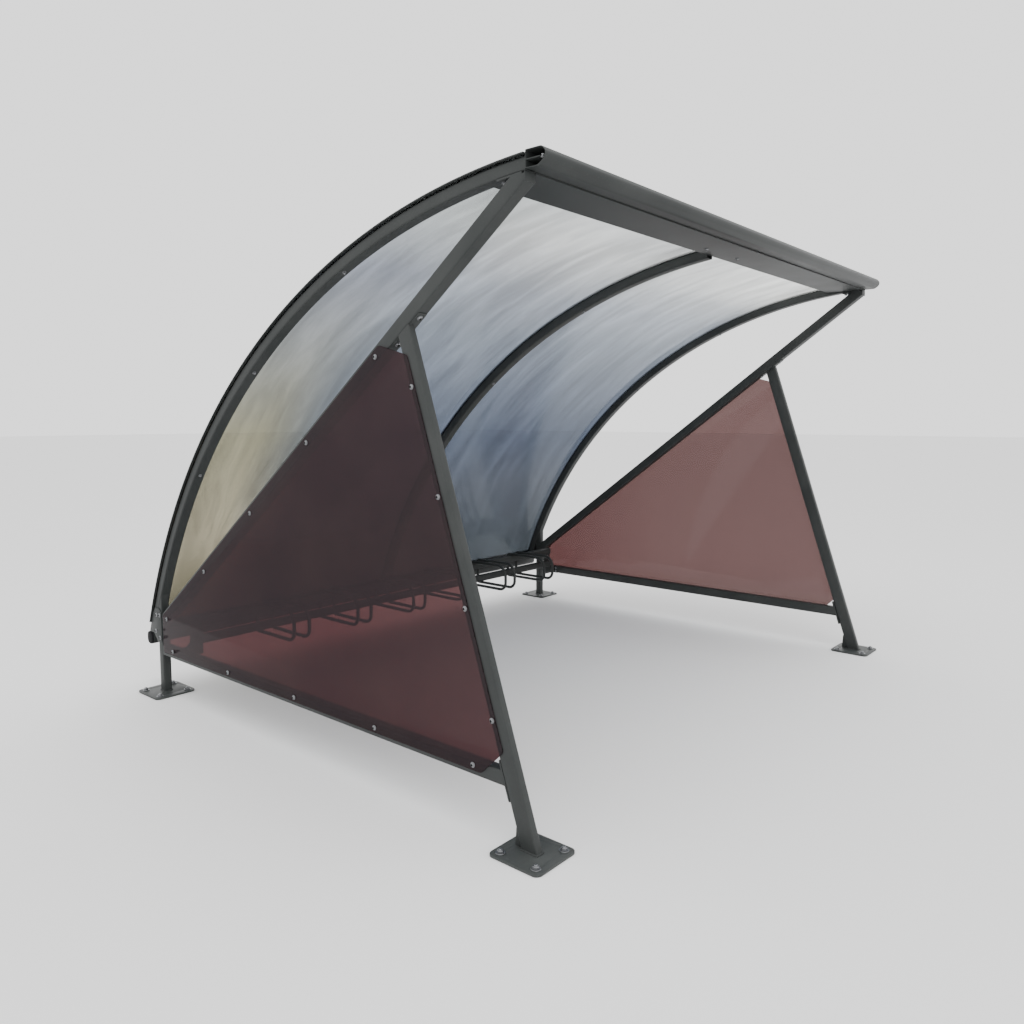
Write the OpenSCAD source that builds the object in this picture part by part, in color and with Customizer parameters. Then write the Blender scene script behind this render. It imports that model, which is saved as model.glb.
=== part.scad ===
// Curved bicycle shelter: two bolted end frames, a middle rib, bent roof sheets,
// tinted side panels and a low rack of wheel hoops.
// Millimetres, +Z up, the open front faces -Y. The origin is on the ground,
// at the middle of the whole shelter's outline.

/* [Overall] */
// Length along the eaves, outer face to outer face of the end frames
shelter_length = 3000; // [1800:10:6000]
// Height of the highest point of the roof ribs
ridge_height = 2092; // [1700:2:2600]
// Outer radius of the bent roof ribs
rib_radius = 2647; // [2300:1:3200]
// From the rear posts' centre line to the front nose's back
roof_reach = 2286; // [1800:2:2600]

/* [Roof ribs] */
// Depth of a rib tube, along the radius
rib_depth = 40; // [30:1:60]
// Width of a rib tube
rib_width = 50; // [40:1:80]
// Wall of the rib, strut, rail and post tubes
tube_wall = 3; // [2:0.5:5]
// Height of the ribs' lower ends
rib_foot_height = 289; // [200:1:400]
// From the rear posts' centre line back to the ribs' outer face, at their lower ends
rib_foot_back = 98.8; // [60:0.1:140]

/* [Roof sheets] */
// Thickness of the clear roof sheet
sheet_thick = 4; // [2:0.5:8]
// Thickness of the cover strips over the sheet
strip_thick = 4; // [2:0.5:8]
// Width of a cover strip
strip_width = 60; // [50:1:90]
// How far the end strips stand out past the end frames
strip_overhang = 10; // [0:1:20]
// Gap between the two roof sheets, under the middle strip
sheet_gap = 6; // [2:1:12]
// Play left by the gasket tape between bent pieces that lie on one another
tape_gap = 0.3; // [0.1:0.1:1]

/* [End frames] */
// Square tube of the rear posts
post_size = 40; // [30:1:60]
// Square tube of the slanting struts
strut_size = 50; // [40:1:60]
// Slope of the struts, in degrees
strut_angle = 36.7; // [30:0.1:42]
// Height of the struts' upper edge at the rear posts' centre line
strut_height = 378; // [340:1:430]
// How far the struts' front ends stay behind the nose's back
strut_set_back = 24; // [15:1:60]
// Depth of the front legs' tube, seen from the side
leg_depth = 60; // [40:1:80]
// Width of the front legs' tube, seen from the front
leg_width = 30; // [25:1:60]
// Lean of the front legs from upright, in degrees
leg_lean = 18.6; // [10:0.1:25]
// From the rear posts' centre line to the front legs' front edge at the ground
leg_reach = 2345.7; // [2000:0.1:2600]
// Height of the side rails' lower face
rail_height = 191; // [120:1:300]
// Height of the side rails' tube
rail_depth = 50; // [40:1:60]
// Width of the side rails' tube
rail_width = 40; // [30:1:50]
// Thickness of the rails' end plates
end_plate_thick = 6; // [4:1:10]
// Thickness of the outer gusset plates at the rear posts
gusset_thick = 4; // [3:0.5:8]

/* [Base plates] */
// Side of the square base plates
plate_size = 200; // [150:1:240]
// Thickness of the base plates
plate_thick = 8; // [6:1:12]
// Corner radius of the base plates
plate_corner = 22; // [5:1:40]
// Distance between the anchor holes, both ways
hole_spacing = 140; // [100:1:180]
// Diameter of the anchor holes
hole_size = 14; // [10:1:18]

/* [Side panels] */
// Thickness of the tinted side panels
panel_thick = 4; // [3:0.5:8]
// Overlap of the panels on the side rails
panel_on_rail = 33; // [20:1:45]
// Distance from the struts' upper edge to the panels' upper edge
panel_below_strut = 12; // [5:1:25]
// Distance from the legs' front edge to the panels' front edge
panel_behind_leg = 36; // [20:1:45]
// Size of the open corner over the rail's front end
panel_corner = 92; // [40:1:150]

/* [Front and rear profiles] */
// Depth of the flat header behind the nose
header_depth = 186; // [120:2:260]
// Depth of the header's underside below the highest point of the ribs
header_drop = 47; // [40:1:80]
// Depth of the rounded nose profile
nose_depth = 76; // [50:1:100]
// Depth of the rear profile
sill_depth = 56; // [40:1:80]
// Height of the rear profile
sill_height = 62; // [40:1:80]
// Height of the rear profile's lip over the ribs' lower ends
sill_lip = 48; // [20:1:80]

/* [Wheel rack] */
// Number of wheel places
places = 6; // [6:1:6]
// Distance between wheel places
place_spacing = 400; // [300:10:500]
// Distance between the two hoops of a place
hoop_spacing = 90; // [70:1:110]
// Diameter of the hoops' tube
hoop_tube = 18; // [14:1:22]
// From the rack rails' centre line to the front of the hoops
hoop_reach = 293; // [200:1:350]
// Square tube of the rack rails
rack_tube = 40; // [30:1:50]
// Wall of the rack rails' tube
rack_wall = 2; // [1.5:0.5:4]
// Corner radius of the rack rails' tube
rack_soft = 5; // [3:0.5:8]
// Height of the upper rack rail's centre line
rack_upper = 363; // [300:1:450]
// Height of the lower rack rail's centre line
rack_lower = 272; // [200:1:350]
// From the rear posts' centre line to the rack rails' centre line
rack_forward = 160; // [100:1:400]
// Distance of the rack rails' ends from the end frames' outer faces
rack_inset = 120; // [60:1:200]
// Thickness of the rack's brackets
bracket_thick = 5; // [3:1:8]

/* [Hidden] */
$fn = 96;
weld_gap = 0.2; // play left where one piece only touches another along its weld
cut = 1;        // run-out of a cutting shape past the face it cuts

steel = [0.29, 0.31, 0.31];
half = shelter_length / 2;

// the ribs' circle, seen from the side
circle_z = ridge_height - rib_radius;
circle_y = rib_foot_back - sqrt(pow(rib_radius, 2) - pow(rib_foot_height - circle_z, 2));
rib_inner = rib_radius - rib_depth;
sheet_inner = rib_radius + tape_gap;
sheet_outer = sheet_inner + sheet_thick;
strip_inner = sheet_outer + tape_gap;
strip_outer = strip_inner + strip_thick;

// the sill hangs on the ribs' lower ends
sill_back = rib_foot_back + 28.2;
sill_top = rib_foot_height;
lip_top = rib_foot_height + sill_lip;

// front foot, and the middle of the outline from front to back
lean = tan(leg_lean);
leg_flat = leg_depth / cos(leg_lean);
foot_y = -(leg_reach - leg_flat / 2 - lean * plate_thick);
outline_front = foot_y - plate_size / 2;
mid_y = (outline_front + sill_back) / 2;

header_height = ridge_height - header_drop;
header_back = -(roof_reach - header_depth);
strut_reach = roof_reach - strut_set_back;
slope = tan(strut_angle);
strut_drop = strut_size / cos(strut_angle);
rail_top = rail_height + rail_depth;
rack_y = -rack_forward;
hoop_r = hoop_tube / 2;
hoop_top = rack_upper + rack_tube / 2 + hoop_r + weld_gap;
hoop_bottom = rack_lower - rack_tube / 2 - hoop_r - weld_gap;
hoop_back = rack_y + rack_tube / 2 + hoop_r + weld_gap;
hoop_front = rack_y - hoop_reach;

// everything is laid out from the rear posts' centre line
module placed() translate([0, -mid_y, 0]) children();

// x counts inwards from the outer face of an end frame
module left_side() placed() translate([-half, 0, 0]) children();
module right_side() placed() translate([half, 0, 0]) mirror([1, 0, 0]) children();

// a flat shape drawn as (y, z), made solid from x to x + long
module across(x, long) translate([x, 0, 0]) rotate([90, 0, 90]) linear_extrude(long) children();

// a band of the ribs' circle, between two radii
module band(r_in, r_out) translate([circle_y, circle_z]) difference() {
  circle(r_out, $fn = 360);
  circle(r_in, $fn = 360);
}

// the part of the side view between two y and above one z
module window(y_from, y_to, z_from) translate([y_from, z_from])
  square([y_to - y_from, ridge_height + 200 - z_from]);

// ---- end frames -------------------------------------------------------------

// square plate on the ground with four anchor holes
module base_plate(x, y) color(steel) translate([x, y, 0]) difference() {
  union() {
    translate([-plate_size / 2 + plate_corner, -plate_size / 2, 0])
      cube([plate_size - 2 * plate_corner, plate_size, plate_thick]);
    translate([-plate_size / 2, -plate_size / 2 + plate_corner, 0])
      cube([plate_size, plate_size - 2 * plate_corner, plate_thick]);
    for (sx = [-1, 1], sy = [-1, 1])
      translate([sx * (plate_size / 2 - plate_corner), sy * (plate_size / 2 - plate_corner), 0])
        cylinder(h = plate_thick, r = plate_corner);
  }
  for (sx = [-1, 1], sy = [-1, 1])
    translate([sx * hole_spacing / 2, sy * hole_spacing / 2, -cut])
      cylinder(h = plate_thick + 2 * cut, d = hole_size);
}

// upright tube from the base plate to the rib's underside
module rear_post() color(steel) difference() {
  across(0, post_size) intersection() {
    translate([-post_size / 2, plate_thick]) square([post_size, strut_height + 200]);
    translate([circle_y, circle_z]) circle(rib_inner - tape_gap, $fn = 360);
  }
  translate([tube_wall, -post_size / 2 + tube_wall, plate_thick - cut])
    cube([post_size - 2 * tube_wall, post_size - 2 * tube_wall, strut_height + 300]);
}

// outer plate that ties the post, the rib's foot and the strut together
module rear_gusset() color(steel) across(-gusset_thick, gusset_thick) intersection() {
  polygon([
    [-post_size / 2, rail_top + 14], [post_size / 2, rail_top + 10],
    [sill_back - 70, sill_top + 2], [rib_foot_back, sill_top + 2], [rib_foot_back, strut_height + 40],
    [0, strut_height + 40], [-post_size / 2, strut_height + 22]
  ]);
  translate([circle_y, circle_z]) circle(rib_radius - 2, $fn = 360);
}

// the strut's side view: a long bar that leans forward, cut square at the rear post
module strut_shape(inset) polygon([
  [-post_size / 2, strut_height + slope * post_size / 2 - inset / cos(strut_angle)],
  [-strut_reach, strut_height + slope * strut_reach - inset / cos(strut_angle)],
  [-strut_reach, strut_height + slope * strut_reach - strut_drop + inset / cos(strut_angle)],
  [-post_size / 2, strut_height + slope * post_size / 2 - strut_drop + inset / cos(strut_angle)]
]);

// the space under the strut's bolting flange
module under_flange() translate([circle_y, circle_z]) circle(rib_inner - tape_gap - end_plate_thick, $fn = 360);

// slanting tube from the rear post to the front of the rib, with a curved bolting flange
module strut() color(steel) {
  difference() {
    across(0, strut_size) intersection() { strut_shape(0); under_flange(); }
    across(tube_wall, strut_size - 2 * tube_wall) intersection() { strut_shape(tube_wall); under_flange(); }
  }
  across(0, strut_size) intersection() {
    band(rib_inner - tape_gap - end_plate_thick, rib_inner - tape_gap);
    window(-strut_reach - 12, -strut_reach + 84, circle_z);
  }
}

// the leg's side view, leaning back from the foot to the strut's underside
module leg_shape(inset) polygon([
  [-leg_reach + lean * plate_thick + inset / cos(leg_lean), plate_thick],
  [-leg_reach + lean * plate_thick + leg_flat - inset / cos(leg_lean), plate_thick],
  [-leg_reach + lean * ridge_height + leg_flat - inset / cos(leg_lean), ridge_height],
  [-leg_reach + lean * ridge_height + inset / cos(leg_lean), ridge_height]
]);
module under_strut() polygon([
  [0, 0], [0, strut_height - strut_drop],
  [-leg_reach, strut_height - strut_drop + slope * leg_reach], [-leg_reach, 0]
]);
module front_leg() color(steel) difference() {
  across(0, leg_width) intersection() { leg_shape(0); under_strut(); }
  across(tube_wall, leg_width - 2 * tube_wall) intersection() { leg_shape(tube_wall); under_strut(); }
}

// level tube from the rear post to a plate on the leg's rear face
module side_rail() color(steel) {
  leg_back = -leg_reach + leg_flat + weld_gap;
  plate_flat = end_plate_thick / cos(leg_lean);
  difference() {
    across(0, rail_width) polygon([
      [-post_size / 2, rail_height], [-post_size / 2, rail_top],
      [leg_back + plate_flat + lean * rail_top, rail_top],
      [leg_back + plate_flat + lean * rail_height, rail_height]
    ]);
    translate([tube_wall, leg_back - cut, rail_height + tube_wall])
      cube([rail_width - 2 * tube_wall, -leg_back, rail_depth - 2 * tube_wall]);
  }
  across(0, rail_width) polygon([
    [leg_back + lean * (rail_height - 46), rail_height - 46],
    [leg_back + plate_flat + lean * (rail_height - 46), rail_height - 46],
    [leg_back + plate_flat + lean * (rail_top + 30), rail_top + 30],
    [leg_back + lean * (rail_top + 30), rail_top + 30]
  ]);
}

// bent tube, flat end on the sill, front end against the header
module rib(y_front) intersection() {
  band(rib_inner, rib_radius);
  window(y_front, rib_foot_back + 1, rib_foot_height);
}
module rib_hollow(y_front) intersection() {
  band(rib_inner + tube_wall, rib_radius - tube_wall);
  window(y_front - cut, rib_foot_back + 1, rib_foot_height - cut);
}
module bent_rib(y_front) color(steel) difference() {
  across(0, rib_width) rib(y_front);
  across(tube_wall, rib_width - 2 * tube_wall) rib_hollow(y_front);
}

// tinted sheet on the outer face of the frame, one corner left open at the rail's front
module side_panel() color([0.36, 0.24, 0.22]) across(-panel_thick, panel_thick) {
  low = rail_top - panel_on_rail;
  front = -leg_reach + panel_behind_leg / cos(leg_lean);
  drop = panel_below_strut / cos(strut_angle);
  rear = -post_size / 2 - 16;
  corner_z = low + panel_corner;
  top_z = strut_height - drop + slope * 1644;
  polygon([
    [rear, low], [front + lean * corner_z + panel_corner, low], [front + lean * corner_z, corner_z],
    [front + lean * (top_z - 40), top_z - 40], [-1644, top_z], [rear, strut_height - drop - slope * rear]
  ]);
}

// ---- parts along the whole length ---------------------------------------------

// hollow flat header between the end ribs, its top curved under the roof sheet
module header_shape(inset) intersection() {
  translate([-roof_reach + inset, header_height + inset])
    square([header_depth - 2 * inset, ridge_height - header_height]);
  translate([circle_y, circle_z]) circle(rib_radius - inset, $fn = 360);
}
module front_header() color(steel) placed() difference() {
  across(-half + rib_width, shelter_length - 2 * rib_width) header_shape(0);
  across(-half + rib_width - cut, shelter_length - 2 * rib_width + 2 * cut) header_shape(2.5);
}

// rounded hollow nose profile with one inner web
module nose_shape(inset) {
  back = -roof_reach;
  polygon([
    [back - inset, header_height + 8 + inset], [back - nose_depth * 0.6, header_height + 5 + inset],
    [back - nose_depth * 0.85 + inset * 0.4, header_height + 12 + inset * 0.8],
    [back - nose_depth * 0.97 + inset * 0.9, header_height + 24 + inset * 0.3],
    [back - nose_depth + inset, header_height + 36], [back - nose_depth * 0.95 + inset * 0.9, header_height + 47],
    [back - nose_depth * 0.80 + inset * 0.5, header_height + 55 - inset * 0.9],
    [back - nose_depth * 0.62, header_height + 58 - inset], [back - nose_depth * 0.35, header_height + 57 - inset],
    [back - inset, header_height + 54 - inset]
  ]);
}
module front_nose() color(steel) placed() difference() {
  across(-half, shelter_length) nose_shape(0);
  across(-half - cut, shelter_length + 2 * cut) difference() {
    nose_shape(2.5);
    translate([-roof_reach - nose_depth, header_height + 30]) square([nose_depth, 3]);
  }
}

// hollow rear profile under the ribs' feet, with a lip up the outside of the sheets
module sill_shape(inset) {
  y0 = sill_back - sill_depth;
  z0 = sill_top - sill_height;
  polygon([
    [y0 + inset, z0 + 20], [y0 + 8 + inset * 0.6, z0 + 6 + inset * 0.6], [y0 + 22, z0 + inset],
    [sill_back - 20, z0 + inset], [sill_back - 6 - inset * 0.6, z0 + 8 + inset * 0.6],
    [sill_back - inset, z0 + 22], [sill_back - inset, sill_top - 22],
    [sill_back - 7 - inset * 0.6, sill_top - 6 - inset * 0.6], [sill_back - 18, sill_top - inset],
    [y0 + inset, sill_top - inset]
  ]);
}
module rear_sill() color(steel) placed() {
  difference() {
    across(-half, shelter_length) sill_shape(0);
    across(-half - cut, shelter_length + 2 * cut) sill_shape(3);
  }
  across(-half, shelter_length) intersection() {
    band(strip_inner, strip_inner + 3);
    translate([0, sill_top - 1.5]) square([sill_back, sill_lip + 1.5]);
  }
}

// one bay of clear sheet, bent over the ribs
module roof_sheet(x, long) color([0.78, 0.82, 0.84, 0.4]) placed() across(x, long) intersection() {
  band(sheet_inner, sheet_outer);
  window(-roof_reach, sill_back, sill_top);
}

// flat strip that clamps the sheet's edge to a rib
module cover_strip(x) color(steel) placed() across(x, strip_width) intersection() {
  band(strip_inner, strip_outer);
  window(-roof_reach, sill_back, lip_top);
}

// ---- wheel rack ---------------------------------------------------------------

// level square tube with open ends
module soft_square(side, r) {
  square([side, side - 2 * r], center = true);
  square([side - 2 * r, side], center = true);
  for (sx = [-1, 1], sy = [-1, 1]) translate([sx * (side / 2 - r), sy * (side / 2 - r)]) circle(r, $fn = 24);
}
module rack_rail(z) color(steel) placed() translate([0, rack_y, z]) difference() {
  across(-half + rack_inset, shelter_length - 2 * rack_inset) soft_square(rack_tube, rack_soft);
  across(-half + rack_inset - cut, shelter_length - 2 * rack_inset + 2 * cut)
    soft_square(rack_tube - 2 * rack_wall, rack_soft - rack_wall);
}

// folded bracket: one leg on the side rail's inner face, one behind the rack rails
module rack_bracket() color(steel) {
  y0 = rack_y + rack_tube / 2;
  top = rack_upper + rack_tube / 2 + 2;
  translate([0, y0 + bracket_thick, 0]) rotate([90, 0, 0]) linear_extrude(bracket_thick) polygon([
    [rail_width, rail_height], [rack_inset + 24, rail_height], [rack_inset + 24, top],
    [rack_inset - 42, top], [rack_inset - 42, rail_top + 22], [rack_inset - 60, rail_top],
    [rail_width, rail_top]
  ]);
  translate([rail_width, y0 - 50, rail_height]) cube([bracket_thick, 50 + bracket_thick, rail_depth]);
}

// closed loop of round tube that passes over the upper rail and under the lower one
module hoop_bend(y, z, r, a) translate([0, y, z]) rotate([90, 0, 90]) rotate([0, 0, a])
  rotate_extrude(angle = 90, $fn = 48) translate([r, 0]) circle(hoop_r, $fn = 24);
module hoop_bar(y0, z0, y1, z1) {
  long = sqrt(pow(y1 - y0, 2) + pow(z1 - z0, 2));
  translate([0, y0, z0]) rotate([atan2(z1 - z0, y1 - y0) - 90, 0, 0])
    cylinder(h = long, r = hoop_r, $fn = 24);
}
module hoop(x) color(steel) placed() translate([x, 0, 0]) {
  tight = hoop_r + rack_soft;
  up = 64;
  down = 46;
  hoop_bend(hoop_front + up, hoop_top - up, up, 90);
  hoop_bend(hoop_front + down, hoop_bottom + down, down, 180);
  hoop_bend(hoop_back - tight, hoop_bottom + tight, tight, 270);
  hoop_bend(hoop_back - tight, hoop_top - tight, tight, 0);
  hoop_bar(hoop_front + up, hoop_top, hoop_back - tight, hoop_top);
  hoop_bar(hoop_front + down, hoop_bottom, hoop_back - tight, hoop_bottom);
  hoop_bar(hoop_front, hoop_bottom + down, hoop_front, hoop_top - up);
  hoop_bar(hoop_back, hoop_bottom + tight, hoop_back, hoop_top - tight);
}
function place_x(n) = (n - (places + 1) / 2) * place_spacing;
module hoop_at(n, side) hoop(place_x(n) + side * hoop_spacing / 2);

// ---- the named pieces -----------------------------------------------------------

module left_rear_plate() left_side() base_plate(post_size / 2, 0);
module left_rear_post() left_side() rear_post();
module left_rear_gusset() left_side() rear_gusset();
module left_front_plate() left_side() base_plate(leg_width / 2, foot_y);
module left_front_leg() left_side() front_leg();
module left_side_rail() left_side() side_rail();
module left_strut() left_side() strut();
module left_rib() left_side() bent_rib(-roof_reach);
module left_side_panel() left_side() side_panel();
module left_rack_bracket() left_side() rack_bracket();
module right_rear_plate() right_side() base_plate(post_size / 2, 0);
module right_rear_post() right_side() rear_post();
module right_rear_gusset() right_side() rear_gusset();
module right_front_plate() right_side() base_plate(leg_width / 2, foot_y);
module right_front_leg() right_side() front_leg();
module right_side_rail() right_side() side_rail();
module right_strut() right_side() strut();
module right_rib() right_side() bent_rib(-roof_reach);
module right_side_panel() right_side() side_panel();
module right_rack_bracket() right_side() rack_bracket();
module middle_rib() placed() translate([-rib_width / 2, 0, 0]) bent_rib(header_back);
module left_roof_sheet() roof_sheet(-half, half - sheet_gap / 2);
module right_roof_sheet() roof_sheet(sheet_gap / 2, half - sheet_gap / 2);
module left_cover_strip() cover_strip(-half - strip_overhang);
module middle_cover_strip() cover_strip(-strip_width / 2);
module right_cover_strip() cover_strip(half + strip_overhang - strip_width);
module rack_upper_rail() rack_rail(rack_upper);
module rack_lower_rail() rack_rail(rack_lower);

left_rear_plate();
left_rear_post();
left_rear_gusset();
left_front_plate();
left_front_leg();
left_side_rail();
left_strut();
left_rib();
left_side_panel();
right_rear_plate();
right_rear_post();
right_rear_gusset();
right_front_plate();
right_front_leg();
right_side_rail();
right_strut();
right_rib();
right_side_panel();
middle_rib();
rear_sill();
front_header();
front_nose();
left_roof_sheet();
right_roof_sheet();
left_cover_strip();
middle_cover_strip();
right_cover_strip();
left_rack_bracket();
right_rack_bracket();
rack_upper_rail();
rack_lower_rail();
hoop_at(1, -1);  // hoop_1_left
hoop_at(1, 1);  // hoop_1_right
hoop_at(2, -1);  // hoop_2_left
hoop_at(2, 1);  // hoop_2_right
hoop_at(3, -1);  // hoop_3_left
hoop_at(3, 1);  // hoop_3_right
hoop_at(4, -1);  // hoop_4_left
hoop_at(4, 1);  // hoop_4_right
hoop_at(5, -1);  // hoop_5_left
hoop_at(5, 1);  // hoop_5_right
hoop_at(6, -1);  // hoop_6_left
hoop_at(6, 1);  // hoop_6_right
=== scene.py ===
import math
import random

import bmesh
import bpy
from mathutils import Matrix, Vector


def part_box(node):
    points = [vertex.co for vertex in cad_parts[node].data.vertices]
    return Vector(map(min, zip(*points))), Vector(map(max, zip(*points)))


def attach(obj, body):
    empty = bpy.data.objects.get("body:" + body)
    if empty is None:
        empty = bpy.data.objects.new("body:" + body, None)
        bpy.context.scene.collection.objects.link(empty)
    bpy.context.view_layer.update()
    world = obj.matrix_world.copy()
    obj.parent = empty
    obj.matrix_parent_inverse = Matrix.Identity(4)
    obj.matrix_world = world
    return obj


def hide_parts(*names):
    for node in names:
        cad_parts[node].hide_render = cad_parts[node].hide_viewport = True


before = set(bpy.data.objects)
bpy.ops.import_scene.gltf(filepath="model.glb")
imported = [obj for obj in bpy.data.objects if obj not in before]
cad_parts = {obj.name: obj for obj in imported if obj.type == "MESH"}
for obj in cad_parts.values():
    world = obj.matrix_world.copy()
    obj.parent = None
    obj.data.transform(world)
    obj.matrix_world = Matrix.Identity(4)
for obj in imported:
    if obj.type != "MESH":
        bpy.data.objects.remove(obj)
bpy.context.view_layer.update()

# ---- Base plates ---------------------------------------------------------------
# Four square steel plates, 8 mm thick with rounded corners, spread the load on the
# ground. They are flame cut, drilled for four anchors and powder coated dark grey.

SIDES = (("left", -1), ("right", 1))
PLATE_CORNER = 0.022
HOLE_PITCH = 0.140
HOLE_R = 0.007


def blank_finish(name):
    """A new material, with its nodes and its links."""
    mat = bpy.data.materials.new(name)
    mat.use_nodes = True
    return mat, mat.node_tree.nodes, mat.node_tree.links


def add(nodes, kind, **settings):
    """A node of a kind, with some of its sockets set; an underscore stands for a space."""
    node = nodes.new("ShaderNode" + kind)
    for label, value in settings.items():
        node.inputs[label.replace("_", " ")].default_value = value
    return node


def tones(nodes, *stops):
    """A colour ramp made from its stops, each a position and a colour."""
    ramp = nodes.new("ShaderNodeValToRGB")
    points = ramp.color_ramp.elements
    for k, (position, colour) in enumerate(stops):
        point = points[k] if k < 2 else points.new(1.0)
        point.position = position
        point.color = (*colour, 1)
    return ramp


def powder_coat(name, dark=1.0, rough=0.42):
    """Dark grey polyester powder coat: fine orange peel, a little dust and wear."""
    mat, nodes, links = blank_finish(name)
    coat = nodes["Principled BSDF"]
    coat.inputs["Metallic"].default_value = 0.0
    coat.inputs["Specular IOR Level"].default_value = 0.22
    place = add(nodes, "TexCoord")
    cloud = add(nodes, "TexNoise", Scale=5.0, Detail=5.0)
    tone = tones(nodes, (0.30, (0.024 * dark, 0.027 * dark, 0.0265 * dark)),
                 (0.72, (0.036 * dark, 0.039 * dark, 0.038 * dark)))
    speck = add(nodes, "TexNoise", Scale=160.0, Detail=2.0)
    dust = tones(nodes, (0.62, (0, 0, 0)), (0.80, (0.06, 0.06, 0.06)))
    dusty = nodes.new("ShaderNodeMix")
    dusty.data_type = "RGBA"
    dusty.inputs[7].default_value = (0.30, 0.29, 0.27, 1)
    sheen = add(nodes, "MapRange", To_Min=rough - 0.06, To_Max=rough + 0.10)
    peel = add(nodes, "TexNoise", Scale=420.0, Detail=1.0)
    bump = add(nodes, "Bump", Strength=0.10, Distance=0.0004)
    for tex in (cloud, speck, peel):
        links.new(place.outputs["Object"], tex.inputs["Vector"])
    links.new(cloud.outputs["Fac"], tone.inputs["Fac"])
    links.new(speck.outputs["Fac"], dust.inputs["Fac"])
    links.new(dust.outputs["Color"], dusty.inputs[0])
    links.new(tone.outputs["Color"], dusty.inputs[6])
    links.new(dusty.outputs[2], coat.inputs["Base Color"])
    links.new(cloud.outputs["Fac"], sheen.inputs["Value"])
    links.new(sheen.outputs["Result"], coat.inputs["Roughness"])
    links.new(peel.outputs["Fac"], bump.inputs["Height"])
    links.new(bump.outputs["Normal"], coat.inputs["Normal"])
    return mat


def piece(name, bm, mats, slot, *nodes, sharp=35):
    """A finished piece from a bmesh that is already in place: smooth with crisp edges, its
    finish, its body and the CAD pieces that it stands for."""
    bmesh.ops.recalc_face_normals(bm, faces=bm.faces)
    mesh = bpy.data.meshes.new(name)
    bm.to_mesh(mesh)
    bm.free()
    for mat in mats if isinstance(mats, tuple) else (mats,):
        mesh.materials.append(mat)
    mesh.shade_smooth()
    mesh.set_sharp_from_angle(angle=math.radians(sharp))
    obj = bpy.data.objects.new(name, mesh)
    bpy.context.scene.collection.objects.link(obj)
    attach(obj, "root")
    if nodes:
        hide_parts(*nodes)


def ring_of(r, count, at=(0, 0)):
    """A round outline."""
    return [(at[0] + r * math.cos(math.tau * k / count),
             at[1] + r * math.sin(math.tau * k / count)) for k in range(count)]


def rounded(wide, deep, r, steps):
    """An oblong outline with round corners."""
    out = []
    for k, (cx, cy) in enumerate(((1, 1), (-1, 1), (-1, -1), (1, -1))):
        for step in range(steps + 1):
            a = math.radians(90 * k + 90 * step / steps)
            out.append((cx * (wide / 2 - r) + r * math.cos(a), cy * (deep / 2 - r) + r * math.sin(a)))
    return out


def softened(points, r, steps=4):
    """A closed outline with each corner turned into a small curve."""
    out = []
    for i, p in enumerate(points):
        here = Vector(p)
        back = Vector(points[i - 1]) - here
        on = Vector(points[(i + 1) % len(points)]) - here
        reach = min(r, back.length * 0.45, on.length * 0.45)
        a, b = here + back.normalized() * reach, here + on.normalized() * reach
        for k in range(steps + 1):
            t = k / steps
            q = a * (1 - t) ** 2 + here * 2 * t * (1 - t) + b * t * t
            out.append((q.x, q.y))
    return out


def cut_plate(name, outlines, thick, edge, place, bm=None):
    """A plate cut to outlines (the first outside, the rest holes), edges eased; thickness runs
    both ways from the outlines' plane. place puts it in the shelter."""
    curve = bpy.data.curves.new(name, "CURVE")
    curve.dimensions = "2D"
    curve.fill_mode = "BOTH"
    curve.extrude = thick / 2 - edge
    curve.bevel_depth = edge
    curve.bevel_resolution = 1
    curve.offset = -edge
    for outline in outlines:
        spline = curve.splines.new("POLY")
        spline.points.add(len(outline) - 1)
        for pt, (u, v) in zip(spline.points, outline):
            pt.co = (u, v, 0, 1)
        spline.use_cyclic_u = True
    holder = bpy.data.objects.new(name, curve)
    bpy.context.scene.collection.objects.link(holder)
    mesh = bpy.data.meshes.new_from_object(
        holder.evaluated_get(bpy.context.evaluated_depsgraph_get()))
    bpy.data.objects.remove(holder)
    bpy.data.curves.remove(curve)
    mesh.transform(place)
    out = bm or bmesh.new()
    out.from_mesh(mesh)
    bpy.data.meshes.remove(mesh)
    bmesh.ops.remove_doubles(out, verts=out.verts, dist=0.00001)
    return out


steel = powder_coat("grey_powder_coat")
# painted light: a lighter copy of the powder coat for the base plates, to lift the shade that falls on
# them
shade_lifted_steel = powder_coat("shade_lifted_powder_coat", dark=1.45)
plate_at = {}
for side, s in SIDES:
    for end in ("rear", "front"):
        node = f"{side}_{end}_plate"
        low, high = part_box(node)
        mid = (low + high) / 2
        plate_at[node] = Vector((mid.x, mid.y, high.z))
        rim = rounded(high.x - low.x, high.y - low.y, PLATE_CORNER, 8)
        holes = [ring_of(HOLE_R, 24, (dx * HOLE_PITCH / 2, dy * HOLE_PITCH / 2))
                 for dx in (-1, 1) for dy in (-1, 1)]
        thick = high.z - low.z
        bm = cut_plate(node, [rim] + holes, thick, 0.0008,
                       Matrix.Translation((mid.x, mid.y, mid.z)))
        # the plates take the lighter copy of the coat, painted light against their shade
        piece(f"{side}_{end}_base_plate", bm, shade_lifted_steel, "frame_steel", node)

# ---- Ground anchors ------------------------------------------------------------
# A zinc plated M12 stud, a nut and a broad washer hold each corner of a base plate
# down. The studs are set in the slab and stand a little proud of their nuts.

WASHER_R = 0.016
WASHER_THICK = 0.0025
NUT_ACROSS = 0.019
NUT_TALL = 0.008
STUD_R = 0.006


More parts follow.
